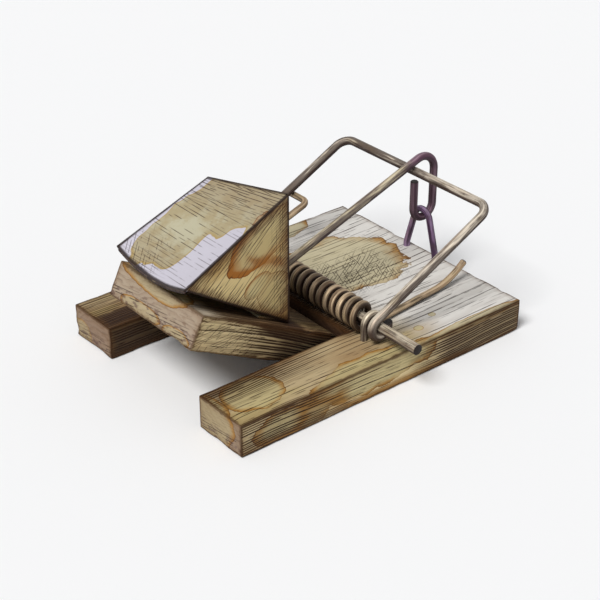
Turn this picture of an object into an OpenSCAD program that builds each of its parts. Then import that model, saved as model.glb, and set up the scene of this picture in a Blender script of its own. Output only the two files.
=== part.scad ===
// Snap mouse trap, drawn set: a notched board, a treadle with a tinplate hood, and a sprung hammer.
// X runs along the board with the notched end at -X, Y runs across it, and Z is up.
// The origin is on the board's underside, on its centre line, straight below the hammer's axle.

/* [Board] */
// Length of the base board
board_l = 100; // [92:1:120]
// Width of the base board
board_w = 78; // [74:1:100]
// Thickness of the base board
board_t = 10; // [9:0.5:14]
// Depth of the notch in the left end
notch_depth = 50; // [46:1:56]
// Width of the notch between the two prongs
notch_w = 42; // [38:0.5:48]
// Distance from the notch's inner end to the axle
axle_setback = 3.5; // [3:0.5:6]

/* [Axle and hammer] */
// Diameter of the axle rod
axle_d = 3; // [2.4:0.1:3.2]
// How far each end of the axle rod stands out past the board's long edges
axle_overhang = 7; // [0:0.5:8]
// Diameter of the hammer's wire
hammer_d = 2.6; // [2.2:0.1:3]
// Distance from the set hammer's crossbar to the hold-down staple, along the board
crossbar_setback = 4.1; // [3.6:0.1:6]
// Distance from each long edge of the board to the hammer's arm
hammer_inset = 8.2; // [6:0.2:10]
// Bend radius of the wire's centre line at the hammer's two corners
hammer_bend = 4; // [2.5:0.5:8]
// Angle of the hammer's arms above the board when the trap is set
set_angle = 27; // [25:0.5:30]
// Angle that the wire wraps round the axle at each of the hammer's eyes
eye_wrap = 260; // [200:5:265]
// Angle that the set hammer can still be pressed down
press_angle = 2; // [1:0.5:3]

/* [Spring] */
// Diameter of the spring's wire
spring_d = 2; // [1.6:0.1:2.2]
// Radius of the spring's centre line
coil_r = 3.4; // [3.1:0.1:4]
// Number of turns in the coil
coil_turns = 16; // [12:1:17]
// Distance from the board's right end to the tip of the spring's fixed leg
leg_inset = 3.8; // [2:0.2:10]
// How far the tip of the fixed leg lies nearer the middle than its coil
leg_toe_in = 4.6; // [0:0.2:8]
// Height that the tip of the fixed leg is bent up
leg_tip_rise = 4.4; // [0:0.2:6]
// Length of the bent-up tip of the fixed leg
leg_tip_l = 13; // [6:0.5:20]
// Distance from the axle to the hook that the spring's moving leg makes under the hammer
hook_reach = 20; // [14:0.5:30]
// Bend radius at the moving leg's hook
hook_bend = 2; // [1.5:0.1:4]

/* [Staples] */
// Diameter of the staples' wire
staple_d = 2; // [1.6:0.1:2.2]
// Depth that the staples' legs are driven into the board
staple_depth = 7; // [5:0.5:8]
// Length of the points at the ends of the staples' legs
staple_point = 1.6; // [1:0.1:3]
// Gap on each side of an axle staple, to the spring and to the hammer
staple_side_gap = 1.2; // [0.6:0.1:1.6]
// Distance from the board's right end to the hold-down staple
hold_staple_inset = 2.5; // [2:0.1:5]
// Height of the hold-down staple's arch above the board, to its centre line
hold_staple_h = 14.5; // [12:0.5:16]
// Distance between the hold-down staple's legs in the board, from centre line to centre line
hold_staple_w = 12.4; // [9:0.2:14]
// Radius of the hold-down staple's arch, to its centre line
hold_arch_r = 3.2; // [2.6:0.1:4]
// Height of the knees, where the staple's spread legs turn straight down, above the board
hold_knee_h = 1.2; // [1:0.1:3]

/* [Hold-down bar] */
// Diameter of the hold-down bar's wire
bar_d = 2.4; // [1.8:0.1:2.6]
// Radius of the loop's centre line where it goes round the staple
loop_r = 3.8; // [3.4:0.1:4.6]
// Bend radius of the bar's centre line where it turns down past the hammer
bar_bend = 5; // [4:0.2:5.6]
// Height of the bar's tip above the foot of the hood's wall
tip_lift = 4.8; // [4:0.1:6]

/* [Treadle] */
// Thickness of the treadle's board
treadle_t = 10; // [8:0.5:11]
// How far the lowered treadle stands out past the ends of the prongs
treadle_overhang = 3.5; // [0:0.5:5]
// Gap between the treadle and each prong
treadle_side_gap = 2; // [1:0.25:4]
// Gap between the treadle's round end and the notch's inner end
treadle_end_gap = 0.5; // [0.4:0.1:1]
// Angle that the treadle is raised when the trap is set
treadle_lift = 27; // [24:0.5:30]
// Diameter of the treadle's hinge pin
pin_d = 2.5; // [2:0.1:3.5]
// Wood left in the front prong past the pin's blind hole
pin_blind = 6; // [3:0.5:12]
// Distance that the pin's end is sunk in the back prong
pin_sink = 0.5; // [0:0.1:2]

/* [Hood and catch] */
// Thickness of the hood's tinplate
hood_t = 0.6; // [0.4:0.1:1]
// Distance from each side of the treadle to the hood's cheek
hood_inset = 3.5; // [2:0.25:6]
// Distance along the treadle from the hinge pin to the foot of the hood's wall
hood_foot = 13.8; // [12.5:0.1:16]
// Drop of the hood's top edge from its front corner to its back corner
hood_fall = 5.5; // [0:0.5:10]
// How far the top edge's back corner lies nearer the lip than its front corner
hood_skew = 3.4; // [0:0.2:6]
// How far the hood's lip reaches past the treadle's left end
lip_overhang = 5.9; // [2:0.1:8]
// Height of the lip's two corners above the treadle
lip_rise = 4.6; // [4:0.1:8]
// How far the middle of the lip hangs below its corners
lip_sag = 3; // [0:0.1:3.4]
// Length of the flange that is tacked down inside the hood
flange_l = 11; // [8:0.5:14]
// Thickness of the catch plate
catch_t = 1; // [0.8:0.1:1.4]
// Width of the catch plate
catch_w = 10; // [8:0.5:14]
// Length of the catch plate's foot
catch_foot_l = 8; // [7:0.2:9]
// Angle that the treadle turns before the catch lets go of the bar
catch_angle = 6; // [4:0.5:8]

/* [Tacks and spike] */
// Diameter of a tack's head
tack_head_d = 3.2; // [2.4:0.1:3.6]
// Thickness of a tack's head
tack_head_t = 0.6; // [0.4:0.1:1]
// Diameter of a tack's shank
tack_d = 1.2; // [0.9:0.1:1.5]
// Length of a tack's shank
tack_l = 6.5; // [5:0.5:7.5]
// Distance between the two hood tacks
hood_tack_gap = 15; // [8:0.5:20]
// Distance between the two catch tacks
catch_tack_gap = 5.6; // [5:0.2:6]
// Diameter of the bait spike
spike_d = 1.6; // [1.2:0.1:2.4]
// Height of the bait spike above the treadle
spike_h = 7; // [5:0.5:9]
// Distance from the treadle's left end to the bait spike
spike_inset = 6; // [4:0.5:10]

/* [Fits] */
// Clearance all round a shaft that turns
run_gap = 0.08; // [0.05:0.01:0.1]
// Clearance all round what is driven or pressed in
drive_gap = 0.02; // [0.01:0.01:0.04]
// Gap between a wire and what it lies on
rest_gap = 0.2; // [0.1:0.05:0.3]
// Gap between moving wires that hold each other
hold_gap = 0.3; // [0.25:0.05:0.4]
// Gap that the swinging crossbar leaves over the hood's top corner
swing_gap = 0.6; // [0.4:0.1:2]

/* [Hidden] */

round_fn = 64;
nudge = 0.01;
seam = 0.05;
curl_rings = 8;
tube_sides = 6;
bend_steps = 5;
wall_clear = 0.45;

wood_colour = [0.66, 0.58, 0.44];
treadle_colour = [0.60, 0.52, 0.40];
tin_colour = [0.72, 0.70, 0.60];
wire_colour = [0.62, 0.57, 0.52];
dark_wire_colour = [0.33, 0.27, 0.33];
spring_colour = [0.50, 0.43, 0.38];
brass_colour = [0.60, 0.45, 0.25];

// Board and axle
notch_x = -axle_setback;
left_x = notch_x - notch_depth;
right_x = left_x + board_l;
coil_z = board_t + rest_gap + spring_d / 2 + coil_r;

// Hammer: the arms run beside the axle, at the radius of the eyes, to just short of the staple
eye_r = axle_d / 2 + run_gap + hammer_d / 2;
arm_y = board_w / 2 - hammer_inset;
staple_x = right_x - hold_staple_inset;
hammer_reach = (staple_x - crossbar_setback + eye_r * sin(set_angle)) / cos(set_angle);
function crossbar_at(angle) = [
    hammer_reach * cos(angle) - eye_r * sin(angle),
    coil_z + hammer_reach * sin(angle) + eye_r * cos(angle)];
crossbar = crossbar_at(set_angle);
crossbar_low = crossbar_at(set_angle - press_angle);
swing_r = norm([hammer_reach, eye_r]);

// Spring: coil, staples and hammer share out the length of the axle
coil_half = arm_y - hammer_d / 2 - 2 * staple_side_gap - staple_d - spring_d / 2;
axle_staple_y = coil_half + spring_d / 2 + staple_side_gap + staple_d / 2;
axle_arch_r = axle_d / 2 + run_gap + staple_d / 2;
coil_end_y = coil_half - spring_d - 2 * rest_gap;
coil_pitch = (coil_end_y + coil_half) / coil_turns;

// Treadle
pin_x = notch_x - treadle_end_gap - treadle_t / 2;
pin_z = board_t / 2;
treadle_w = notch_w - 2 * treadle_side_gap;
treadle_l = pin_x - left_x + treadle_overhang;
treadle_top = treadle_t / 2;
// A point of the raised treadle, from its place along and above the hinge pin
function on_treadle(along, up) = [
    pin_x + along * cos(treadle_lift) + up * sin(treadle_lift),
    pin_z - along * sin(treadle_lift) + up * cos(treadle_lift)];

// Hood: the wall stands upright when the trap is set, as tall as the swinging crossbar allows
foot = on_treadle(-hood_foot, treadle_top);
wall_x = foot[0];
hood_w = treadle_w - 2 * hood_inset;
hood_reach = swing_r - hammer_d / 2 - swing_gap;
peak_front_z = coil_z + sqrt(pow(hood_reach, 2) - pow(wall_x, 2));
peak_back_z = peak_front_z - hood_fall;
lip = on_treadle(-treadle_l - lip_overhang, treadle_top + lip_rise);

// Hold-down bar: from under the catch, over the crossbar and down round its staple
bar_start_x = wall_x + catch_t + wall_clear + bar_d / 2 * sin(set_angle);
bar_start_z = foot[1] + tip_lift;
to_crossbar = crossbar - [bar_start_x, bar_start_z];
bar_over = hammer_d / 2 + bar_d / 2 + hold_gap;
bar_slope = atan2(to_crossbar[1], to_crossbar[0]) + asin(bar_over / norm(to_crossbar));
arch_z = board_t + hold_staple_h;
arch_low_z = arch_z - hold_arch_r;
knee_z = board_t + hold_knee_h;
// How far each leg leans out, so that it touches the arch and meets its knee
leg_run = [hold_staple_w / 2, arch_low_z - knee_z];
leg_lean = acos(hold_arch_r / norm(leg_run)) - atan2(leg_run[1], leg_run[0]);
leg_lean_l = sqrt(leg_run * leg_run - pow(hold_arch_r, 2));
loop_z = arch_z + loop_r - bar_d / 2 - staple_d / 2 - rest_gap;
loop_far_x = staple_x + loop_r;
loop_near_x = staple_x - loop_r;
bend_start_x = loop_far_x - bar_bend - bar_bend * sin(bar_slope);
bend_z = bar_start_z + (bend_start_x - bar_start_x) * tan(bar_slope) - bar_bend * cos(bar_slope);
bar_straight_l = (bend_start_x - bar_start_x) / cos(bar_slope);
loop_end_z = crossbar_low[1] - hammer_d / 2 - 2 * hold_gap;

// Catch: its lip is part of a circle round the hinge pin, so it slides off the bar's tip
pin_at = [pin_x, pin_z];
bar_corner = [bar_start_x - bar_d / 2 * sin(bar_slope), bar_start_z + bar_d / 2 * cos(bar_slope)] - pin_at;
catch_r = norm(bar_corner) + hold_gap;
catch_end = atan2(bar_corner[1], bar_corner[0]) - catch_angle;
catch_steps = 4;

// Tacks and spike, by their places on the treadle
hood_tack_x = -hood_foot - flange_l / 2 - hood_t;
catch_tack_x = -hood_foot + catch_t + catch_foot_l / 2;
spike_x = -treadle_l + spike_inset;
spike_root = treadle_t * 0.7;

// Centre line of the spring: from the fixed leg's tip, along the board and round the axle
leg_z = coil_z - coil_r;
leg_tip_x = right_x - leg_inset;
leg_knee_x = leg_tip_x - leg_tip_l;
function leg_y(x) = -coil_half + leg_toe_in * x / leg_tip_x;
function leg_point(x) = [x, leg_y(x), leg_z + leg_tip_rise * pow(max(0, (x - leg_knee_x) / leg_tip_l), 2)];
function coil_point(t) = [
    coil_r * cos(270 - 360 * t),
    -coil_half + coil_pitch * t,
    coil_z + coil_r * sin(270 - 360 * t)];
spring_path = concat(
    [for (i = [0:bend_steps]) leg_point(leg_tip_x - leg_tip_l * i / bend_steps)],
    [leg_point(leg_knee_x / 2), leg_point(spring_d)],
    [for (i = [0:coil_turns * curl_rings]) coil_point(i / curl_rings)]);

// Smallest gap from one turn of the spring to another, wire to wire
coil_first = len(spring_path) - 1 - coil_turns * curl_rings;
coil_gap = min([for (i = [coil_first:len(spring_path) - 1], j = [i + curl_rings - 1:len(spring_path) - 1])
    norm(spring_path[i] - spring_path[j])]) - spring_d;
echo(spring_turn_gap_mm = coil_gap);

function unit(v) = v / norm(v);
function heading(path, i) = unit(path[min(i + 1, len(path) - 1)] - path[max(i - 1, 0)]);
function square_to(v, direction) = unit(v - (v * direction) * direction);

// One unbroken tube along a path, with a ring of sides at each of its points
module tube(path, d, sides) {
    count = len(path);
    ups = [for (i = 0, up = square_to([0, 0, 1], heading(path, 0)); i < count;
        i = i + 1, up = i < count ? square_to(up, heading(path, i)) : up) up];
    points = [for (i = [0:count - 1], s = [0:sides - 1])
        let (side = cross(heading(path, i), ups[i]), a = 360 * s / sides)
        path[i] + d / 2 * (cos(a) * ups[i] + sin(a) * side)];
    skin = [for (i = [0:count - 2], s = [0:sides - 1])
        let (a = i * sides + s, b = i * sides + (s + 1) % sides)
        each [[a, b, a + sides], [b, b + sides, a + sides]]];
    first_cap = [for (s = [1:sides - 2]) [0, s + 1, s]];
    last = (count - 1) * sides;
    last_cap = [for (s = [1:sides - 2]) [last, last + s, last + s + 1]];
    polyhedron(points, concat(skin, first_cap, last_cap));
}

// Straight wire along +X, and an arc of wire in the XZ plane, turning from +X towards +Z
module wire_x(d, l) {
    rotate([0, 90, 0]) cylinder(d = d, h = l, $fn = round_fn);
}

module wire_arc(r, d, from, sweep) {
    rotate([90, 0, 0]) rotate([0, 0, from]) rotate_extrude(angle = sweep, $fn = round_fn)
        translate([r, 0]) circle(d = d, $fn = round_fn);
}

module on_raised_treadle() {
    translate([pin_x, 0, pin_z]) rotate([0, treadle_lift, 0]) children();
}

// A profile drawn in X and Z, given thickness along Y from y0
module side_profile(points, y0, thickness) {
    translate([0, y0 + thickness, 0]) rotate([90, 0, 0]) linear_extrude(thickness) polygon(points);
}

// Pointed leg of a staple, driven down into the board from height top
module staple_leg(top) {
    bottom = board_t - staple_depth;
    translate([0, 0, bottom + staple_point])
        cylinder(d = staple_d, h = top - bottom - staple_point, $fn = round_fn);
    translate([0, 0, bottom]) cylinder(d1 = staple_d / 4, d2 = staple_d, h = staple_point, $fn = round_fn);
}

module staple_hole() {
    translate([0, 0, board_t - staple_depth])
        cylinder(d = staple_d + 2 * drive_gap, h = staple_depth + nudge, $fn = round_fn);
}

module tack() {
    translate([0, 0, -tack_l]) cylinder(d = tack_d, h = tack_l + nudge, $fn = round_fn);
    cylinder(d = tack_head_d, h = tack_head_t, $fn = round_fn);
}

module tack_hole() {
    translate([0, 0, -tack_l - drive_gap])
        cylinder(d = tack_d + 2 * drive_gap, h = tack_l + treadle_t, $fn = round_fn);
}

module at_hood_tacks(up) {
    for (y = [-hood_tack_gap / 2, hood_tack_gap / 2]) translate([hood_tack_x, y, up]) children();
}

module at_catch_tacks(up) {
    for (y = [-catch_tack_gap / 2, catch_tack_gap / 2]) translate([catch_tack_x, y, up]) children();
}

module base_board() {
    prong_out = board_w / 2;
    color(wood_colour) difference() {
        translate([left_x, -board_w / 2, 0]) cube([board_l, board_w, board_t]);
        translate([left_x - nudge, -notch_w / 2, -nudge])
            cube([notch_depth + nudge, notch_w, board_t + 2 * nudge]);
        translate([pin_x, prong_out + nudge, pin_z]) rotate([90, 0, 0])
            cylinder(d = pin_d + 2 * drive_gap, h = board_w - pin_blind + nudge, $fn = round_fn);
        for (x = [-axle_arch_r, axle_arch_r], y = [-axle_staple_y, axle_staple_y])
            translate([x, y, 0]) staple_hole();
        for (y = [-hold_staple_w / 2, hold_staple_w / 2]) translate([staple_x, y, 0]) staple_hole();
    }
}

module hinge_pin() {
    color(dark_wire_colour) translate([pin_x, board_w / 2 - pin_sink, pin_z]) rotate([90, 0, 0])
        cylinder(d = pin_d, h = board_w - pin_sink - pin_blind - rest_gap, $fn = round_fn);
}

module axle_rod() {
    rod_l = board_w + 2 * axle_overhang;
    color(wire_colour) translate([0, rod_l / 2, coil_z]) rotate([90, 0, 0])
        cylinder(d = axle_d, h = rod_l, $fn = round_fn);
}

module axle_staple() {
    for (x = [-axle_arch_r, axle_arch_r]) translate([x, 0, 0]) staple_leg(coil_z);
    translate([0, 0, coil_z]) wire_arc(axle_arch_r, staple_d, 0, 180);
}

module axle_staple_front() {
    color(wire_colour) translate([0, -axle_staple_y, 0]) axle_staple();
}

module axle_staple_back() {
    color(wire_colour) translate([0, axle_staple_y, 0]) axle_staple();
}

module hold_down_staple() {
    color(dark_wire_colour) translate([staple_x, 0, 0]) {
        translate([0, 0, arch_low_z]) rotate([0, 0, 90])
            wire_arc(hold_arch_r, staple_d, leg_lean, 180 - 2 * leg_lean);
        for (side = [0, 180]) rotate([0, 0, side]) {
            translate([0, hold_staple_w / 2, knee_z]) {
                // Balls a hair wider than the wire close the seams at the knee and at the arch
                sphere(d = staple_d + seam, $fn = round_fn);
                rotate([leg_lean, 0, 0]) {
                    cylinder(d = staple_d, h = leg_lean_l - seam, $fn = round_fn);
                    translate([0, 0, leg_lean_l]) sphere(d = staple_d + seam, $fn = round_fn);
                }
            }
            translate([0, hold_staple_w / 2, 0]) staple_leg(knee_z);
        }
    }
}

module spring_coil() {
    color(spring_colour) tube(spring_path, spring_d, tube_sides);
}

// The moving leg leaves its eye at the top and dips just under the hammer's back arm
module spring_moving_leg() {
    hook_x = hook_reach + hook_bend;
    hook_up = eye_r - hammer_d / 2 - spring_d / 2 - rest_gap / 2;
    dip = acos(hook_up / norm([hook_x, coil_r])) - atan2(hook_x, coil_r);
    eye_turn = 270;
    hook_l = arm_y + hammer_d - coil_half - hook_bend;
    color(spring_colour) translate([0, coil_half, coil_z]) rotate([0, dip - set_angle, 0]) {
        wire_arc(coil_r, spring_d, 90, eye_turn);
        translate([0, 0, coil_r]) {
            wire_x(spring_d, hook_reach);
            translate([hook_reach, hook_bend, 0]) rotate([0, 0, -90])
                rotate_extrude(angle = 90, $fn = round_fn)
                    translate([hook_bend, 0]) circle(d = spring_d, $fn = round_fn);
            translate([hook_x, hook_bend, 0]) rotate([-90, 0, 0])
                cylinder(d = spring_d, h = hook_l, $fn = round_fn);
        }
    }
}

// One bent wire: an eye at each end of the arms, and the crossbar between the two corners
module hammer() {
    arm_l = hammer_reach - hammer_bend;
    color(wire_colour) translate([0, 0, coil_z]) rotate([0, -set_angle, 0]) {
        for (side = [-1, 1]) translate([0, side * arm_y, 0]) {
            wire_arc(eye_r, hammer_d, 90, eye_wrap);
            translate([0, 0, eye_r]) wire_x(hammer_d, arm_l);
        }
        for (side = [-1, 1]) translate([arm_l, side * (arm_y - hammer_bend), eye_r])
            rotate([0, 0, side > 0 ? 0 : -90]) rotate_extrude(angle = 90, $fn = round_fn)
                translate([hammer_bend, 0]) circle(d = hammer_d, $fn = round_fn);
        translate([hammer_reach, arm_y - hammer_bend, eye_r]) rotate([90, 0, 0])
            cylinder(d = hammer_d, h = 2 * (arm_y - hammer_bend), $fn = round_fn);
    }
}

// One bent wire: straight over the hammer, then down and round the staple in a long loop
module hold_down_bar() {
    color(dark_wire_colour) {
        translate([bar_start_x, 0, bar_start_z]) rotate([0, -bar_slope, 0]) {
            wire_x(bar_d, bar_straight_l - seam);
            // A ball a hair wider than the wire closes the seam to the bend
            translate([bar_straight_l, 0, 0]) sphere(d = bar_d + seam, $fn = round_fn);
        }
        translate([loop_far_x - bar_bend, 0, bend_z]) wire_arc(bar_bend, bar_d, 0, 90 + bar_slope);
        translate([loop_far_x, 0, loop_z]) cylinder(d = bar_d, h = bend_z - loop_z, $fn = round_fn);
        translate([staple_x, 0, loop_z]) wire_arc(loop_r, bar_d, 180, 180);
        translate([loop_near_x, 0, loop_z]) cylinder(d = bar_d, h = loop_end_z - loop_z, $fn = round_fn);
    }
}

module treadle_board() {
    color(treadle_colour) on_raised_treadle() difference() {
        union() {
            translate([-treadle_l, -treadle_w / 2, -treadle_t / 2]) cube([treadle_l, treadle_w, treadle_t]);
            translate([0, treadle_w / 2, 0]) rotate([90, 0, 0])
                cylinder(d = treadle_t, h = treadle_w, $fn = round_fn);
        }
        translate([0, treadle_w / 2 + nudge, 0]) rotate([90, 0, 0])
            cylinder(d = pin_d + 2 * run_gap, h = treadle_w + 2 * nudge, $fn = round_fn);
        at_hood_tacks(treadle_top + hood_t) tack_hole();
        at_catch_tacks(treadle_top + catch_t) tack_hole();
        translate([spike_x, 0, treadle_top - spike_root])
            cylinder(d = spike_d + 2 * drive_gap, h = treadle_t, $fn = round_fn);
    }
}

// Folded sheet: a roof, two cheeks and a wall, open underneath; the lip hangs in a shallow curve
module hood_sheet() {
    across = 10;
    down = 4;
    half = hood_w / 2;
    bottom_z = foot[1] + hood_t * tan(treadle_lift);
    run = [lip[0] - wall_x, lip[1] - (peak_front_z + peak_back_z) / 2];
    under = hood_t * norm(run) / abs(run[0]);
    function top_x(y) = wall_x - hood_skew * (y / hood_w + 0.5);
    function roof_z(x, y) = let (
        u = y / hood_w + 0.5,
        v = (x - top_x(y)) / (lip[0] - top_x(y)),
        peak_z = peak_front_z - hood_fall * u,
        lip_z = lip[1] - lip_sag * (1 - pow(2 * u - 1, 2)))
        peak_z * (1 - v) + lip_z * v;
    // One face of the sheet: the outer one with no inset, the inner one set in by the thickness
    function face_points(inset) = let (
        side = half - inset)
        concat(
            [for (j = [0:down], i = [0:across])
                let (y = side * (2 * i / across - 1), start_x = top_x(y) - inset,
                    x = start_x + (lip[0] - start_x) * j / down)
                [x, y, roof_z(x, y) - under * inset / hood_t]],
            [[wall_x - inset, -side, bottom_z], [wall_x - inset, side, bottom_z]]);
    row = across + 1;
    foot_front = row * (down + 1);
    foot_back = foot_front + 1;
    layer = foot_back + 1;
    roof = [for (j = [0:down - 1], i = [0:across - 1])
        let (a = j * row + i) each [[a, a + row, a + 1], [a + 1, a + row, a + row + 1]]];
    cheeks = [for (j = [0:down - 1]) each [
        [foot_front, (j + 1) * row, j * row],
        [foot_back, j * row + across, (j + 1) * row + across]]];
    wall = concat([for (i = [0:across - 1]) [foot_front, i, i + 1]], [[foot_front, across, foot_back]]);
    outer = concat(roof, cheeks, wall);
    inner = [for (f = outer) [f[0] + layer, f[2] + layer, f[1] + layer]];
    edge = concat(
        [for (i = [0:across - 1]) [down * row + i, down * row + i + 1]],
        [[down * row + across, foot_back], [foot_back, foot_front], [foot_front, down * row]]);
    rim = [for (e = edge) each [[e[1], e[0], e[0] + layer], [e[1], e[0] + layer, e[1] + layer]]];
    polyhedron(concat(face_points(0), face_points(hood_t)), concat(outer, inner, rim));
}

module treadle_hood() {
    flange_w = hood_w - 4 * hood_t;
    color(tin_colour) {
        hood_sheet();
        on_raised_treadle() difference() {
            translate([-hood_foot - flange_l, -flange_w / 2, treadle_top])
                cube([flange_l - hood_t, flange_w, hood_t]);
            at_hood_tacks(treadle_top + hood_t) tack_hole();
        }
    }
}

// A foot on the treadle, an upright against the hood's wall, and a lip over the bar's tip
module catch_plate() {
    inner_x = wall_x + catch_t - pin_x;
    outer_x = wall_x - pin_x;
    top_along = (inner_x - (treadle_top + catch_t) * sin(treadle_lift)) / cos(treadle_lift);
    under_start = acos(inner_x / catch_r);
    over_r = catch_r + catch_t;
    over_start = acos(outer_x / over_r);
    function arc(r, from, to) = [for (i = [0:catch_steps])
        let (a = from + (to - from) * i / catch_steps) pin_at + r * [cos(a), sin(a)]];
    profile = concat(
        [foot,
         on_treadle(-hood_foot + catch_foot_l, treadle_top),
         on_treadle(-hood_foot + catch_foot_l, treadle_top + catch_t),
         on_treadle(top_along, treadle_top + catch_t)],
        arc(catch_r, under_start, catch_end),
        arc(over_r, catch_end, over_start));
    color(dark_wire_colour) difference() {
        side_profile(profile, -catch_w / 2, catch_w);
        on_raised_treadle() at_catch_tacks(treadle_top + catch_t) tack_hole();
    }
}

module treadle_tacks() {
    color(brass_colour) on_raised_treadle() {
        at_hood_tacks(treadle_top + hood_t) tack();
        at_catch_tacks(treadle_top + catch_t) tack();
    }
}

module bait_spike() {
    point = spike_d;
    color(dark_wire_colour) on_raised_treadle() translate([spike_x, 0, treadle_top]) {
        translate([0, 0, -spike_root])
            cylinder(d = spike_d, h = spike_root + spike_h - point, $fn = round_fn);
        translate([0, 0, spike_h - point])
            cylinder(d1 = spike_d, d2 = spike_d / 5, h = point, $fn = round_fn);
    }
}

base_board();
hinge_pin();
axle_rod();
axle_staple_front();
axle_staple_back();
spring_coil();
hold_down_staple();
hammer();
spring_moving_leg();
hold_down_bar();
treadle_board();
treadle_hood();
catch_plate();
treadle_tacks();
bait_spike();
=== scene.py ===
# %% [markdown]
# # A set mouse trap, made of old wood and bent wire
# The frame holds the trap's solids, already in place and in metres. Loading it first gives every
# later piece a fixed place to go to, so nothing is fitted by eye.

# %% Load the frame
from itertools import product
from math import acos, asin, atan2, copysign, cos, degrees, hypot, pi, radians, sin, sqrt, tan

import bmesh
import bpy
import numpy as np
from mathutils import Matrix, Vector, noise


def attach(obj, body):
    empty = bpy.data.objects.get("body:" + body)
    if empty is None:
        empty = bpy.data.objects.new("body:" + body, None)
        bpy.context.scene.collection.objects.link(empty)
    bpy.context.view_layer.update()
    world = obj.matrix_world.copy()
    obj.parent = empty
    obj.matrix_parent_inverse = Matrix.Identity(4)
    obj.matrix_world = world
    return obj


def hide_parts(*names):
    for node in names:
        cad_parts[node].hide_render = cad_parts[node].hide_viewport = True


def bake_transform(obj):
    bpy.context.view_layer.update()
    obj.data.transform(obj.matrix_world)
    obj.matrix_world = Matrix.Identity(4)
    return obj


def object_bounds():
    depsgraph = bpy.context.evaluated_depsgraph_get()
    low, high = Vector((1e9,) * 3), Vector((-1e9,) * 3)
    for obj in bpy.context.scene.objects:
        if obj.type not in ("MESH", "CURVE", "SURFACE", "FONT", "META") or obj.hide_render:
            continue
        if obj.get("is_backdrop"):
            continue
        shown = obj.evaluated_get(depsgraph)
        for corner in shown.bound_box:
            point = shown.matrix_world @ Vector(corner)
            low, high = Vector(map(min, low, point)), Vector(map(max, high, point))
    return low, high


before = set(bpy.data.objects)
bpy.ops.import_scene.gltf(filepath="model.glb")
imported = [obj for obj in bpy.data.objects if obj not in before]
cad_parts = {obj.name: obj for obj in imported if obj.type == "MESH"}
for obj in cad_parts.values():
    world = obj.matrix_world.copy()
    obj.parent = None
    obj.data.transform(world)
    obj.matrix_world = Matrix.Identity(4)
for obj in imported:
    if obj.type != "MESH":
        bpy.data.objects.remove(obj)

solid_box = [list(corner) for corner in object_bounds()]

# %% [markdown]
# ## Sizes
# All sizes are written in millimetres, as a trap maker writes them, while Blender counts in metres.
# One factor turns them into metres when a mesh is made.
# X runs along the board, Y across it, Z up, and the axle stands over the origin.

# %% Sizes of the trap
MM = 0.001
BOARD_X = (-53.5, 46.5)
BOARD_Y = 39.0
BOARD_Z = 10.0
NOTCH_X = -3.5
NOTCH_Y = 21.0

AXLE_Z = 14.6
AXLE_D = 3.0
AXLE_HALF = 46.0
AXLE_FIT = 0.08

HAMMER_D = 2.6
ARM_Y = 30.8
SET_ANGLE = radians(27)
EYE_R = 2.88
CORNER_R = 4.0

STAPLE_D = 2.0
AXLE_STAPLE_Y = 27.3
HOLD_STAPLE_X = 44.0
HOLD_ARCH_Z = 24.5
HOLD_STAPLE_HALF = 6.2
HOLD_ARCH_R = 3.2
KNEE_Z = BOARD_Z + 1.2
REACH = (HOLD_STAPLE_X - 4.1 + EYE_R * sin(SET_ANGLE)) / cos(SET_ANGLE)

PIN = (-9.0, 5.0)
LIFT = radians(27)
TREADLE_L = 48.0
TREADLE_Y = 19.0
TREADLE_T = 10.0
HOOD_FOOT = -13.8
print("hammer reach, mm:", round(REACH, 3))

# %% [markdown]
# ## Frames for the tilted pieces
# The hammer and the treadle are easier to think of lying flat, and are then turned to the angle
# that they have when the trap is set. One small function does this for points in the XZ plane.

# %% Turn points about an axis along Y
def turned(points, centre, angle):
    """Points turned in the XZ plane about centre, so that +X goes towards +Z, then moved there."""
    p = np.asarray(points, float)
    c, s = cos(angle), sin(angle)
    out = p.copy()
    out[:, 0] = centre[0] + c * p[:, 0] - s * p[:, 2]
    out[:, 2] = centre[1] + s * p[:, 0] + c * p[:, 2]
    return out


def arc(centre, radius, start, end, steps, y=0.0):
    """Points on an arc in the XZ plane, with angles in degrees from +X towards +Z."""
    turn = np.radians(np.linspace(start, end, steps))
    return np.stack([centre[0] + radius * np.cos(turn), np.full(steps, y),
                     centre[1] + radius * np.sin(turn)], axis=1)


def straight(start, end, step=1.5):
    count = max(2, int(np.linalg.norm(np.subtract(end, start)) / step) + 1)
    return np.linspace(start, end, count)


def joined(*runs):
    """Several runs of points as one path, without the doubled points where they meet."""
    path = [np.asarray(runs[0][0], float)]
    for point in np.concatenate(runs):
        if np.linalg.norm(point - path[-1]) > 0.02:
            path.append(np.asarray(point, float))
    return np.array(path)


print("treadle end, mm:", turned([[-TREADLE_L, 0, TREADLE_T / 2]], PIN, -LIFT).round(2))

# %% [markdown]
# ## Wire
# Every metal bar of the trap is drawn wire: round, cut off square, and bent cold.
# A curve with a bevel would do, but a swept mesh lets each point carry its place on the straight wire
# as it was before bending. The finish uses that place, so drawing marks follow the wire round its bends.

# %% Sweep a round wire along a path
def in_scene(name, data):
    thing = bpy.data.objects.new(name, data)
    bpy.context.scene.collection.objects.link(thing)
    return thing


def shown(name, mesh, body, sharp=40):
    """An object made of a mesh: smooth but for its sharp edges, and riding on a body."""
    piece = in_scene(name, mesh)
    mesh.polygons.foreach_set("use_smooth", [True] * len(mesh.polygons))
    mesh.set_sharp_from_angle(angle=radians(sharp))
    if body:
        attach(piece, body)
    return piece


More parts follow.
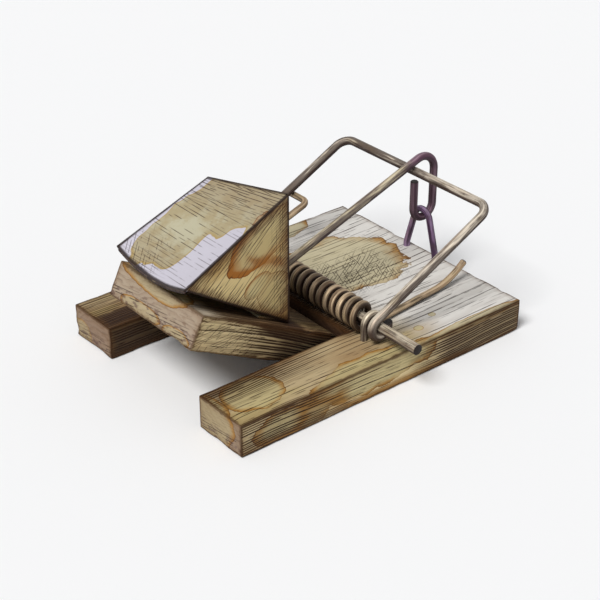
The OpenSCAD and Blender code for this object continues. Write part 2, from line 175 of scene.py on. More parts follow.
def wire(name, path, diameter, body, sides=16, cut=0.25, points=(0.0, 0.0)):
    """A wire with chamfered cut ends. points gives the length of a driven point at either end."""
    path = np.asarray(path, float)
    step = np.linalg.norm(np.diff(path, axis=0), axis=1)
    run = np.concatenate([[0], np.cumsum(step)])
    total = run[-1]
    extra = []
    for length, at_end in ((points[0], False), (points[1], True)):
        for s in ([cut] if not length else [length, length / 2]):
            extra.append(total - s if at_end else s)
    marks = np.unique(np.concatenate([run, extra]))
    path = np.stack([np.interp(marks, run, path[:, k]) for k in range(3)], axis=1)

    heading = np.gradient(path, axis=0)
    heading /= np.linalg.norm(heading, axis=1)[:, None]
    up = np.array([0.0, 0.0, 1.0]) if abs(heading[0][2]) < 0.9 else np.array([1.0, 0.0, 0.0])
    turn = np.linspace(0, 2 * pi, sides, endpoint=False)
    rings, places = [], []
    for i, (centre, ahead) in enumerate(zip(path, heading)):
        up = up - ahead * (up @ ahead)
        up /= np.linalg.norm(up)
        side = np.cross(ahead, up)
        radius = diameter / 2
        for length, gone in ((points[0], marks[i]), (points[1], total - marks[i])):
            if length:
                radius *= min(1.0, 0.25 + 0.75 * gone / length)
            else:
                radius *= min(1.0, 1 - 0.22 * (1 - gone / cut)) if gone < cut else 1.0
        rings.append(centre + radius * (np.cos(turn)[:, None] * up + np.sin(turn)[:, None] * side))
        places.append(np.stack([np.full(sides, marks[i]), radius * np.cos(turn),
                                radius * np.sin(turn)], axis=1))
    faces = []
    for i, s in product(range(len(path) - 1), range(sides)):
        a, b = i * sides + s, i * sides + (s + 1) % sides
        faces.append((a, a + sides, b + sides, b))
    last = (len(path) - 1) * sides
    faces += [tuple(range(sides)), tuple(range(last + sides - 1, last - 1, -1))]
    mesh = bpy.data.meshes.new(name)
    mesh.from_pydata([tuple(v) for v in np.concatenate(rings) * MM], [], faces)
    mesh.validate()
    place = mesh.attributes.new("wire_place", "FLOAT_VECTOR", "POINT")
    place.data.foreach_set("vector", np.concatenate(places).astype(np.float32).ravel())
    from_end = mesh.attributes.new("wire_end", "FLOAT", "POINT")
    from_end.data.foreach_set("value", np.repeat(np.minimum(marks, total - marks), sides).astype(np.float32))
    return shown(name, mesh, body)


WIRES = {}
print("wire sweeping ready")

# %% [markdown]
# ## Axle rod and its staples
# The rod is straight and cut off past the board's edges. Two staples hold it down, one between the
# spring and each of the hammer's eyes. Their legs are hidden in the wood, so only the points taper.

# %% Make the rod and its staples
WIRES["axle"] = wire("axle", straight((0, -AXLE_HALF, AXLE_Z), (0, AXLE_HALF, AXLE_Z)), AXLE_D,
                     "base", sides=24)
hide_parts("axle_rod")

arch_r = AXLE_D / 2 + AXLE_FIT + STAPLE_D / 2
for end, y in (("front", -AXLE_STAPLE_Y), ("back", AXLE_STAPLE_Y)):
    path = joined(straight((arch_r, y, 3), (arch_r, y, AXLE_Z)),
                  arc((0, AXLE_Z), arch_r, 0, 180, 17, y),
                  straight((-arch_r, y, AXLE_Z), (-arch_r, y, 3)))
    name = f"rod_staple_{end}"
    WIRES[name] = wire(name, path, STAPLE_D, "base", points=(1.6, 1.6))
    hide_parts(f"axle_staple_{end}")
print("wires so far:", sorted(WIRES))

# %% [markdown]
# ## Hammer
# One length of wire makes the whole hammer: an eye round the rod, an arm, the crossbar, the other arm
# and the other eye. It is drawn flat, from one cut end to the other, and turned up to its set angle.

# %% Make the hammer
def flat_corner(x, y, start, end, z, radius=CORNER_R, steps=13):
    """A corner's bend in the hammer's own plane."""
    turn = np.radians(np.linspace(start, end, steps))
    return np.stack([x + radius * np.cos(turn), y + radius * np.sin(turn), np.full(steps, z)], axis=1)


arm_l, inner_y = REACH - CORNER_R, ARM_Y - CORNER_R
hammer_path = joined(
    arc((0, 0), EYE_R, 350, 90, 44, -ARM_Y),
    straight((0, -ARM_Y, EYE_R), (arm_l, -ARM_Y, EYE_R)),
    flat_corner(arm_l, -inner_y, -90, 0, EYE_R),
    straight((REACH, -inner_y, EYE_R), (REACH, inner_y, EYE_R)),
    flat_corner(arm_l, inner_y, 0, 90, EYE_R),
    straight((arm_l, ARM_Y, EYE_R), (0, ARM_Y, EYE_R)),
    arc((0, 0), EYE_R, 90, 350, 44, ARM_Y))
WIRES["hammer"] = wire("striker", turned(hammer_path, (0, AXLE_Z), SET_ANGLE), HAMMER_D,
                       "hammer", sides=20)
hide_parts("hammer")
hammer_length = float(np.linalg.norm(np.diff(hammer_path, axis=0), axis=1).sum())
print("hammer wire, mm:", round(hammer_length, 1))

# %% [markdown]
# ## Spring
# The real spring is one wire: a leg on the board, sixteen turns round the rod, and a leg that pushes
# up the hammer's arm. When the hammer turns, every coil turns a little. Here the spring is one mesh in
# the set pose, and it is tied to neither the board nor the hammer.

# %% Make the spring
SPRING_D, COIL_R, COIL_HALF, COIL_END, TURNS = 2.0, 3.4, 24.1, 21.7, 16
PITCH = (COIL_END + COIL_HALF) / TURNS
LEG_X, LEG_KNEE_X, LEG_RISE, TOE_IN = 42.7, 29.7, 4.4, 4.6


def leg_point(x):
    rise = LEG_RISE * max(0.0, (x - LEG_KNEE_X) / (LEG_X - LEG_KNEE_X)) ** 2
    return (x, -COIL_HALF + TOE_IN * x / LEG_X, AXLE_Z - COIL_R + rise)


fixed_leg = np.array([leg_point(x) for x in np.linspace(LEG_X, 1.2, 34)])
turn = np.linspace(0, TURNS, TURNS * 30 + 1)
coil = np.stack([COIL_R * np.cos(np.radians(270 - 360 * turn)), -COIL_HALF + PITCH * turn,
                 AXLE_Z + COIL_R * np.sin(np.radians(270 - 360 * turn))], axis=1)

hook_reach, hook_r = 20.0, 2.0
hook_x, hook_up = hook_reach + hook_r, EYE_R - HAMMER_D / 2 - SPRING_D / 2 - 0.1
dip = acos(hook_up / hypot(hook_x, COIL_R)) - atan2(hook_x, COIL_R)
leg_angle = SET_ANGLE - dip
leave = 90 + degrees(leg_angle)
last = np.linspace(0, 1, 16)[1:]
run_out = np.stack([COIL_R * np.cos(np.radians(270 + (leave - 270) * last)),
                    COIL_END + (COIL_HALF - COIL_END) * (3 * last ** 2 - 2 * last ** 3),
                    AXLE_Z + COIL_R * np.sin(np.radians(270 + (leave - 270) * last))], axis=1)
hook_l = ARM_Y + HAMMER_D - COIL_HALF - hook_r
hook = joined(
    straight((0.4, 0, COIL_R), (hook_reach, 0, COIL_R)),
    flat_corner(hook_reach, hook_r, -90, 0, COIL_R, hook_r, 9),
    straight((hook_x, hook_r, COIL_R), (hook_x, hook_r + hook_l, COIL_R)))
hook[:, 1] += COIL_HALF
moving_leg = turned(hook, (0, AXLE_Z), leg_angle)
spring = wire("torsion_spring", joined(fixed_leg, coil, run_out, moving_leg), SPRING_D, None,
              sides=12)
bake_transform(spring)
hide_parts("spring_coil", "spring_moving_leg")
WIRES["spring"] = spring
print("spring points:", len(spring.data.vertices), "pitch, mm:", round(PITCH, 3))

# %% [markdown]
# ## Hold-down bar and its staple
# The bar lies over the crossbar and keeps the spring wound. At its right end it turns down and makes
# a long loop, which hangs in a tall staple like two links of a chain. The staple's legs are
# spread like a pear's sides, and turn straight down at a knee just above the wood.

# %% Make the bar and its staple
BAR_D, LOOP_R, BAR_BEND, GAP = 2.4, 3.8, 5.0, 0.3
CATCH_T, TIP_GAP, TIP_LIFT = 1.0, 0.45, 4.8
foot = turned([[HOOD_FOOT, 0, TREADLE_T / 2]], PIN, -LIFT)[0]
tip = np.array([foot[0] + CATCH_T + TIP_GAP + BAR_D / 2 * sin(SET_ANGLE), foot[2] + TIP_LIFT])
crossbar = np.array([REACH * cos(SET_ANGLE) - EYE_R * sin(SET_ANGLE),
                     AXLE_Z + REACH * sin(SET_ANGLE) + EYE_R * cos(SET_ANGLE)])
reach_over = crossbar - tip
over = HAMMER_D / 2 + BAR_D / 2 + GAP
slope = atan2(reach_over[1], reach_over[0]) + asin(over / np.linalg.norm(reach_over))
loop_z = HOLD_ARCH_Z + LOOP_R - BAR_D / 2 - STAPLE_D / 2 - 0.2
far_x, near_x = HOLD_STAPLE_X + LOOP_R, HOLD_STAPLE_X - LOOP_R
bend_x = far_x - BAR_BEND - BAR_BEND * sin(slope)
bend_z = tip[1] + (bend_x - tip[0]) * tan(slope) - BAR_BEND * cos(slope)
low_angle = SET_ANGLE - radians(2)
loop_end = AXLE_Z + REACH * sin(low_angle) + EYE_R * cos(low_angle) - HAMMER_D / 2 - 2 * GAP
bar_path = joined(
    straight((tip[0], 0, tip[1]), (bend_x, 0, bend_z + BAR_BEND * cos(slope))),
    arc((far_x - BAR_BEND, bend_z), BAR_BEND, 90 + degrees(slope), 0, 15),
    straight((far_x, 0, bend_z), (far_x, 0, loop_z)),
    arc((HOLD_STAPLE_X, loop_z), LOOP_R, 0, -180, 21),
    straight((near_x, 0, loop_z), (near_x, 0, loop_end)))
WIRES["bar"] = wire("bar", bar_path, BAR_D, "hold_down_bar", sides=18)
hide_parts("hold_down_bar")

half, arch_low = HOLD_STAPLE_HALF, HOLD_ARCH_Z - HOLD_ARCH_R
leg_run = hypot(half, arch_low - KNEE_Z)
lean = acos(HOLD_ARCH_R / leg_run) - atan2(arch_low - KNEE_Z, half)
knee_bend = []
for t in np.linspace(0, 1, 7):
    below, above = 0.9 * (1 - t) ** 2, 0.9 * t ** 2
    knee_bend.append((half - above * sin(lean), 0.0, KNEE_Z - below + above * cos(lean)))
arch = arc((0, arch_low), HOLD_ARCH_R, degrees(lean), 180 - degrees(lean), 23)
right_leg = joined(straight((half, 0, 3), knee_bend[0]), knee_bend, straight(knee_bend[-1], arch[0]))
outline = joined(right_leg, arch, right_leg[::-1] * (-1, 1, 1))
staple_path = np.stack([np.full(len(outline), HOLD_STAPLE_X), outline[:, 0], outline[:, 2]], axis=1)
WIRES["hold_staple"] = wire("tall_staple", staple_path, STAPLE_D, "base", points=(1.6, 1.6))
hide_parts("hold_down_staple")
print("bar slope, degrees:", round(degrees(slope), 2), "staple legs lean:", round(degrees(lean), 1))

# %% [markdown]
# ## Boards
# Both boards are sawn from the same plank. A box with a bevel looks new, so each board's skin is cut
# into small squares, its edges are rounded, and every point is pushed in a little by smooth noise.
# Near an edge it is pushed in more, which leaves nicks where a board is knocked most.

# %% Build the skin of a board from small bricks
SIDES = {
    (1, 0, 0): ((1, 0, 0), (1, 1, 0), (1, 1, 1), (1, 0, 1)),
    (-1, 0, 0): ((0, 0, 0), (0, 0, 1), (0, 1, 1), (0, 1, 0)),
    (0, 1, 0): ((0, 1, 0), (0, 1, 1), (1, 1, 1), (1, 1, 0)),
    (0, -1, 0): ((0, 0, 0), (1, 0, 0), (1, 0, 1), (0, 0, 1)),
    (0, 0, 1): ((0, 0, 1), (1, 0, 1), (1, 1, 1), (0, 1, 1)),
    (0, 0, -1): ((0, 0, 0), (0, 1, 0), (1, 1, 0), (1, 0, 0)),
}


def lines(*stops, step=1.8):
    """Cutting lines through the stops, no further apart than step."""
    cuts = [stops[0]]
    for a, b in zip(stops, stops[1:]):
        cuts += list(np.linspace(a, b, max(2, round((b - a) / step) + 1))[1:])
    return cuts


def board_skin(xs, ys, zs, is_wood, shape=lambda p: p):
    """The closed outer skin of the bricks that are wood, as a bmesh in millimetres."""
    bm, corner = bmesh.new(), {}
    size = (len(xs) - 1, len(ys) - 1, len(zs) - 1)
    wood = {b for b in product(*map(range, size)) if is_wood(
        (xs[b[0]] + xs[b[0] + 1]) / 2, (ys[b[1]] + ys[b[1] + 1]) / 2, (zs[b[2]] + zs[b[2] + 1]) / 2)}
    for brick in wood:
        for way, corners in SIDES.items():
            if tuple(np.add(brick, way)) in wood:
                continue
            ring = []
            for c in corners:
                key = tuple(np.add(brick, c))
                if key not in corner:
                    corner[key] = bm.verts.new(shape((xs[key[0]], ys[key[1]], zs[key[2]])))
                ring.append(corner[key])
            bm.faces.new(ring)
    bm.normal_update()
    return bm


def rounded(bm, width, angle=50, segments=3):
    edges = [e for e in bm.edges if e.is_manifold and e.calc_face_angle(0) > radians(angle)]
    bmesh.ops.bevel(bm, geom=edges, offset=width, segments=segments, profile=0.6,
                    affect="EDGES", clamp_overlap=True)
    bm.normal_update()


def worn(bm, edge_distance, dent, nick, seed):
    """Pushes each point in: a little everywhere, and more at the edges."""
    moves = []
    for v in bm.verts:
        p = v.co
        broad = 0.5 + 0.5 * noise.noise(Vector((p.x * 0.05 + seed, p.y * 0.22, p.z * 0.3)))
        fine = 0.5 + 0.5 * noise.noise(Vector((p.x * 0.25, p.y * 0.9 + seed, p.z * 0.9)))
        knock = max(0.0, noise.noise(Vector((p.x * 0.16, p.y * 0.21, p.z * 0.3 + seed))) - 0.12)
        near = max(0.0, 1 - edge_distance(p) / 1.6)
        moves.append(dent * (0.7 * broad + 0.3 * fine) + nick * near * knock)
    for v, move in zip(bm.verts, moves):
        v.co -= v.normal * move


def raised(bm):
    """Turns what was made on the flat treadle up with it, about the pin."""
    bmesh.ops.rotate(bm, cent=(0, 0, 0), matrix=Matrix.Rotation(LIFT, 3, "Y"), verts=bm.verts)
    bmesh.ops.translate(bm, vec=(PIN[0], 0, PIN[1]), verts=bm.verts)


def board_piece(name, bm, body):
    mesh = bpy.data.meshes.new(name)
    bmesh.ops.scale(bm, vec=(MM, MM, MM), verts=bm.verts)
    bm.to_mesh(mesh)
    bm.free()
    return shown(name, mesh, body, sharp=55)


def middle(a, b, c):
    return sorted((a, b, c))[1]


print("board tools ready")

# %% [markdown]
# ## Base board
# The left end is notched, which leaves two prongs. The treadle lies in the notch when it is down.

# %% Make the base board
NO_EDGE = 99


def base_edge(p):
    in_notch = p.x < NOTCH_X + 1
    dx = min(p.x - BOARD_X[0], BOARD_X[1] - p.x, abs(p.x - NOTCH_X) if abs(p.y) < NOTCH_Y + 0.5 else NO_EDGE)
    dy = min(BOARD_Y - abs(p.y), abs(abs(p.y) - NOTCH_Y) if in_notch else NO_EDGE)
    return middle(abs(dx), abs(dy), min(p.z, BOARD_Z - p.z))


base = board_skin(
    lines(BOARD_X[0], NOTCH_X, BOARD_X[1]), lines(-BOARD_Y, -NOTCH_Y, NOTCH_Y, BOARD_Y),
    lines(0, BOARD_Z, step=1.4), lambda x, y, z: x > NOTCH_X or abs(y) > NOTCH_Y)
rounded(base, 0.45)
worn(base, base_edge, 0.16, 0.8, 3.1)
board = board_piece("board", base, "base")
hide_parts("base_board")
print("base board faces:", len(board.data.polygons))

# %% [markdown]
# ## Treadle
# The treadle is a tongue of the same wood with a round inner end, so that it can turn on its pin
# close to the notch. It is built lying flat, with its round end made from square bricks by a smooth
# map from a square to a disc, and is then turned up with the pin as the centre.

# %% Make the treadle
half_t = TREADLE_T / 2


def round_end(p):
    """Keeps the flat part, and maps the bricks past the pin onto half a disc."""
    x, y, z = p
    if x <= 0:
        return p
    a, b = x / half_t, z / half_t
    return (half_t * a * sqrt(1 - b * b / 2), y, half_t * b * sqrt(1 - a * a / 2))


def treadle_edge(p):
    thick = half_t - abs(p.z) if p.x < 0 else NO_EDGE
    return middle(abs(p.x + TREADLE_L), TREADLE_Y - abs(p.y), thick)


tongue = board_skin(lines(-TREADLE_L, 0, half_t, step=1.5), lines(-TREADLE_Y, TREADLE_Y, step=1.6),
                    lines(-half_t, half_t, step=1.25), lambda x, y, z: True, round_end)
rounded(tongue, 0.45)
worn(tongue, treadle_edge, 0.14, 1.1, 7.7)
raised(tongue)
treadle = board_piece("treadle", tongue, "treadle")
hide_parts("treadle_board")
print("treadle faces:", len(treadle.data.polygons))

# %% [markdown]
# ## Hood
# The hood over the bait is one sheet of tinplate, folded into a roof, two cheeks and an upright wall,
# and open underneath. It could be a cut box, but folded sheet shows three marks: round folds, a
# rolled hem along the lip, and a skin that is never quite flat. So the outer skin is made of patches,
# its folds are rounded, and it then gets its thickness.

# %% Make the hood
HOOD_T, HOOD_HALF, HOOD_FALL, HOOD_SKEW, LIP_DISH = 0.6, 15.5, 5.5, 3.4, 3.0
wall_x = foot[0]
swing = hypot(REACH, EYE_R) - HAMMER_D / 2 - 0.6
peak_front = AXLE_Z + sqrt(swing ** 2 - wall_x ** 2)
lip = turned([[-TREADLE_L - 5.9, 0, half_t + 4.6]], PIN, -LIFT)[0]
wall_low = foot[2] + HOOD_T * tan(LIFT)


def roof(u, v):
    """A point on the roof: u from the front cheek to the back one, v from the peak down to the lip."""
    top_x = wall_x - HOOD_SKEW * u
    x = top_x + (lip[0] - top_x) * v
    y = HOOD_HALF * (2 * u - 1)
    top = peak_front - HOOD_FALL * u
    low = lip[2] - LIP_DISH * (1 - (2 * u - 1) ** 2)
    edge = 16 * u * (1 - u) * v * (1 - v)
    dish = 0.45 * noise.noise(Vector((x * 0.07, y * 0.09, 4.0))) - 0.35
    return (x, y, top * (1 - v) + low * v + edge * min(0.0, dish))


def cheek(u, v, w):
    """A point on a cheek: w runs from the roof's fold down to the cheek's open edge."""
    x, y, z = roof(u, v)
    x += (wall_x + (lip[0] - wall_x) * v - x) * w
    low = wall_low + (lip[2] - wall_low) * v
    bulge = 0.35 * w * (1 - w) * 4 * (1 - v) * (0.5 + 0.5 * noise.noise(Vector((x * 0.1, z * 0.1, u))))
    return (x, y - copysign(bulge * v * 4, y), z + (low - z) * w)


def wall(u, w):
    """A point on the upright wall, which is creased from its front foot to its back corner."""
    x, y, z = roof(u, 0)
    return (wall_x - HOOD_SKEW * min(u, 1 - w), y, z + (wall_low - z) * w)


ACROSS, DOWN, DEEP = 26, 28, 18
hood, seen = bmesh.new(), {}


def hood_point(p):
    key = tuple(round(c, 3) for c in p)
    if key not in seen:
        seen[key] = hood.verts.new(p)
    return seen[key]


def patch(point, rows, columns):
    for i, j in product(range(rows), range(columns)):
        ring = []
        for a, b in ((i, j), (i + 1, j), (i + 1, j + 1), (i, j + 1)):
            v = hood_point(point(a / rows, b / columns))
            if v not in ring:
                ring.append(v)
        if len(ring) > 2:
            hood.faces.new(ring)


patch(lambda a, b: roof(b, a), DOWN, ACROSS)
patch(lambda a, b: cheek(0, a, b), DOWN, DEEP)
patch(lambda a, b: cheek(1, 1 - a, b), DOWN, DEEP)
patch(lambda a, b: wall(1 - b, a), DEEP, ACROSS)
bmesh.ops.recalc_face_normals(hood, faces=hood.faces)
if sum(f.normal.z for f in hood.faces) < 0:
    bmesh.ops.reverse_faces(hood, faces=hood.faces)
hood.normal_update()
rounded(hood, 0.55, angle=40)
tin = board_piece("hood", hood, "treadle")
sheet = tin.modifiers.new("sheet", "SOLIDIFY")
sheet.thickness, sheet.offset = HOOD_T * MM, -1
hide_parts("treadle_hood")
print("hood peak, mm:", round(peak_front, 2), "faces:", len(tin.data.polygons))

# %% [markdown]
# The lip's edge is rolled under into a thin bead, swept like a wire, which keeps it from cutting
# fingers. The flange that the tacks hold is a flat strip.

# %% Roll the hem and bend the flange
bead_path = [Vector(roof(u, 0.985)) - Vector((0, 0, 0.75)) for u in np.linspace(0.02, 0.98, 25)]
hem = wire("hood_hem", [tuple(p) for p in bead_path], 1.0, "treadle", sides=12)


def strip(name, near, far, y_half, low, high, body, width=0.15):
    """A flat strip on the treadle, given by its ends along the treadle and its heights above the pin."""
    bm = board_skin(lines(near, far), lines(-y_half, y_half), [low, high], lambda x, y, z: True)
    rounded(bm, width, segments=2)
    raised(bm)
    return board_piece(name, bm, body)


flange = strip("hood_flange", -24.8, -14.4, 14.3, half_t + 0.02, half_t + HOOD_T, "treadle")
print("hem points:", len(hem.data.vertices))

# %% [markdown]
# ## Tacks
# A tack's head is a low dome, struck a little off centre. The treadle's top holds four.

# %% Make the tacks
def dome(bm, place, radius, height, rings=6, sides=20, lean=0.0):
    """A low domed head standing on the plane z = 0 at place, before it is turned with the treadle."""
    rows = [[bm.verts.new((place[0] + radius * c * cos(t), place[1] + radius * c * sin(t),
                           place[2] + height * h + lean * c * cos(t)))
             for t in np.linspace(0, 2 * pi, sides, endpoint=False)]
            for c, h in [(1.0, 0.0), (1.0, 0.35)] + [(cos(a), 0.35 + 0.65 * sin(a))
                                                     for a in np.linspace(0.25, 1.4, rings)]]
    for low_row, high_row in zip(rows, rows[1:]):
        for s in range(sides):
            bm.faces.new((low_row[s], low_row[(s + 1) % sides], high_row[(s + 1) % sides], high_row[s]))
    bm.faces.new(rows[-1])
    bm.faces.new(rows[0][::-1])


FLANGE_L, CATCH_L = 11.0, 8.0
heads = bmesh.new()
for x, half_gap, thick in ((HOOD_FOOT - FLANGE_L / 2 - HOOD_T, 7.5, HOOD_T),
                           (HOOD_FOOT + CATCH_T + CATCH_L / 2, 2.8, CATCH_T)):
    for y in (-half_gap, half_gap):
        dome(heads, (x, y, half_t + thick), 1.55, 0.58, lean=0.02)
raised(heads)
tacks = board_piece("tacks", heads, "treadle")
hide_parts("treadle_tacks")
print("tack faces:", len(tacks.data.polygons))

# %% [markdown]
# # Finishes
# Each finish is worked out from a point's own place in millimetres, so it has the right scale and
# stays on the piece when it moves. Dozens of nodes made by hand are hard to read, so the small class
# below lets shader maths be written as plain expressions.

# %% A class for shader maths
def maths(operation):
    """A method that adds one Math node, whose first value is the field itself."""
    def method(self, *others):
        return self.paint.node("Math", {"operation": operation}, dict(enumerate((self,) + others)))
    return method


class Field:
    """A value, colour or vector somewhere in a material, held by the socket that it leaves."""

    def __init__(self, paint, socket):
        self.paint, self.socket = paint, socket

    __add__ = __radd__ = maths("ADD")
    __mul__ = __rmul__ = maths("MULTIPLY")
    __sub__, __truediv__ = maths("SUBTRACT"), maths("DIVIDE")
    least, most, size = maths("MINIMUM"), maths("MAXIMUM"), maths("ABSOLUTE")
    root, floor, fraction = maths("SQRT"), maths("FLOOR"), maths("FRACT")

    def __rsub__(self, other):
        return self.paint.node("Math", {"operation": "SUBTRACT"}, {0: other, 1: self})

    def rises(self, low, high):
        """0 below low and 1 above high, with a smooth step in between. low may be the larger one."""
        return self.paint.node("MapRange", {"interpolation_type": "SMOOTHSTEP"},
                               {"Value": self, "From Min": low, "From Max": high})


class Paint:
    """The nodes of a material or a sky. Its one method adds any node, its settings before its sockets."""

    def __init__(self, holder):
        holder.use_nodes = True
        self.holder, self.tree = holder, holder.node_tree
        self.tree.nodes.clear()

    def node(self, kind, settings=None, sockets=None, out=0):
        made = self.tree.nodes.new("ShaderNode" + kind)
        for key, value in (settings or {}).items():
            setattr(made, key, value)
        for key, value in (sockets or {}).items():
            if isinstance(value, Field):
                self.tree.links.new(value.socket, made.inputs[key])
            else:
                made.inputs[key].default_value = value
        return Field(self, made.outputs[out]) if made.outputs else None


print("shader class ready")

# %% [markdown]
# Colours are easiest to judge on screen, where they run from 0 to 255, while a shader counts light.
# `tone` turns one into the other. `coats` lays colours over each other, as a painter would.
# `spread` is the noise that most marks start from, read in a space that is squeezed or stretched.

# %% Helpers that all finishes share
def tone(red, green, blue):
    def light(c):
        c /= 255
        return c / 12.92 if c <= 0.04045 else ((c + 0.055) / 1.055) ** 2.4
    return (light(red), light(green), light(blue), 1.0)


def coats(colour, *layers):
    """The colour under its coats, the lowest first. A coat is (its colour, how much it covers)."""
    for above, amount in layers:
        colour = amount.paint.node("Mix", {"data_type": "RGBA", "clamp_result": True},
                                   {0: amount, 6: colour, 7: above}, out=2)
    return colour


def place_in_mm(paint):
    place = paint.node("TexCoord", out=3)
    return paint.node("VectorMath", {"operation": "SCALE"}, {0: place, 3: 1 / MM})


def facing(paint):
    return paint.node("TexCoord", out=1)


def axes(vector):
    return [vector.paint.node("SeparateXYZ", {}, {0: vector}, out=k) for k in range(3)]


def vector(x, y, z):
    return x.paint.node("CombineXYZ", {}, {0: x, 1: y, 2: z})


def stretched(place, by, shift=(0.0, 0.0, 0.0)):
    return place.paint.node("Mapping", {}, {"Vector": place, "Location": shift, "Scale": by})


def spread(place, by=None, shift=(0.0, 0.0, 0.0), detail=3.0, rough=0.55, twist=0.0):
    """Noise around 0.5. by is how fast it changes in a millimetre along x, y and z."""
    if by is not None:
        place = stretched(place, by, shift)
    return place.paint.node("TexNoise", {}, {
        "Vector": place, "Scale": 1.0, "Detail": detail, "Roughness": rough, "Distortion": twist})


def surface(paint, colour, roughness, metallic=0.0, height=None, depth=0.0, shine=0.5):
    """The last nodes of every finish: a surface, with a bump where a height in millimetres is given."""
    sockets = {"Base Color": colour, "Roughness": roughness, "Metallic": metallic, "Specular IOR Level": shine}
    if height is not None:
        sockets["Normal"] = paint.node(
            "Bump", {}, {"Height": height, "Distance": depth * MM, "Strength": 1.0})
    shader = paint.node("BsdfPrincipled", {}, sockets)
    paint.node("OutputMaterial", {}, {"Surface": shader})
    return paint.holder


def dress(material, *pieces):
    for piece in pieces:
        piece.data.materials.clear()
        piece.data.materials.append(material)


print("screen grey 128 is light", round(tone(128, 128, 128)[0], 3))

# %% [markdown]
# ## Marks that old boards and tin share
# A spill's brown edge dries darkest. Each tide mark is a distance from a chosen spot, made uneven by
# noise. Its fill is faint, and its rim darkens slowly from the inside and stops at once outside.
# Thin straight lines come in rows, one line to a row, and noise along the row decides where it shows.
# A dark line along an edge needs the distance to the nearest edge. On a box that is the middle one of
# the distances to its three pairs of faces, because on the surface the least one is zero.

# %% Tide marks, straight lines and edges
def tide_marks(place, marks, seed, wide=0.26, ragged=0.95, faint=0.4):
    """Fill, soft rim and thin edge of uneven spots. A mark is (centre, size along x, y and z)."""
    nearest = None
    for centre, reach in marks:
        by = tuple(1 / r for r in reach)
        away = place.paint.node("VectorMath", {"operation": "DISTANCE"},
                                {0: stretched(place, by), 1: tuple(c * s for c, s in zip(centre, by))}, out=1)
        nearest = away if nearest is None else nearest.least(away)
    away = nearest + (spread(place, (0.10, 0.10, 0.10), seed, 5.0, 0.58) - 0.5) * ragged
    heavy = spread(place, (0.08, 0.08, 0.08), (4.0, 9.0, 2.0), 2.0).rises(0.38, 0.58)
    inside = away.rises(1.0, 0.975)
    rim = away.rises(1 - wide, 0.99) * inside * (faint + (1 - faint) * heavy)
    edge = away.rises(0.945, 0.985) * inside * (faint + 0.1 + (0.9 - faint) * heavy)
    return inside, rim, edge


def strokes(along, across, spacing, length, seed, width=0.11, share=0.5):
    """Thin straight lines, one to a row, each broken up by chance. share is how much is drawn."""
    row = across / spacing
    cell = row.floor()
    chance = row.paint.node("TexWhiteNoise", {"noise_dimensions": "1D"}, {"W": cell + seed})
    line = (row - cell - 0.25 - chance * 0.5).size().rises(width, width * 0.25)
    run = spread(vector(along / length, cell * 5.7, seed), detail=2.0, rough=0.6)
    low = 0.70 - share * 0.4
    return line * run.rises(low, low + 0.10)


def middle_of(a, b, c):
    return a.least(b).most(a.most(b).least(c))


print("marks ready")

# %% [markdown]
# ## Wood
# Sawn wood is a stack of year rings cut through, so the rings come first: the distance from a heart
# line far under the board, bent by slow noise. Cut along the board they give long lines, and cut
# across it they give arcs, with no change to the recipe. Over them go broad pale and tan areas, the
# straight dark pores of old softwood, spills, dark lines along the edges, and painted shade on the
# side faces, in the notch and where other parts shade the boards. The side faces' own tone is
# painted lighter, to make up for the weaker light that falls on them.

# %% The wood recipe
BLEACHED, PALE, TAN = tone(224, 221, 216), tone(190, 170, 132), tone(164, 136, 98)
OLIVE, BROWN, INK = tone(172, 153, 102), tone(108, 74, 38), tone(42, 19, 6)
RUST, BURNT, SOAKED = tone(160, 112, 42), tone(84, 46, 16), tone(190, 176, 128)
SIDE_PAINTED_LIGHTER, GRIME_AND_SHADE, VIOLET = tone(237, 216, 168), tone(88, 56, 28), tone(78, 56, 62)
YEAR_RING = 1.9


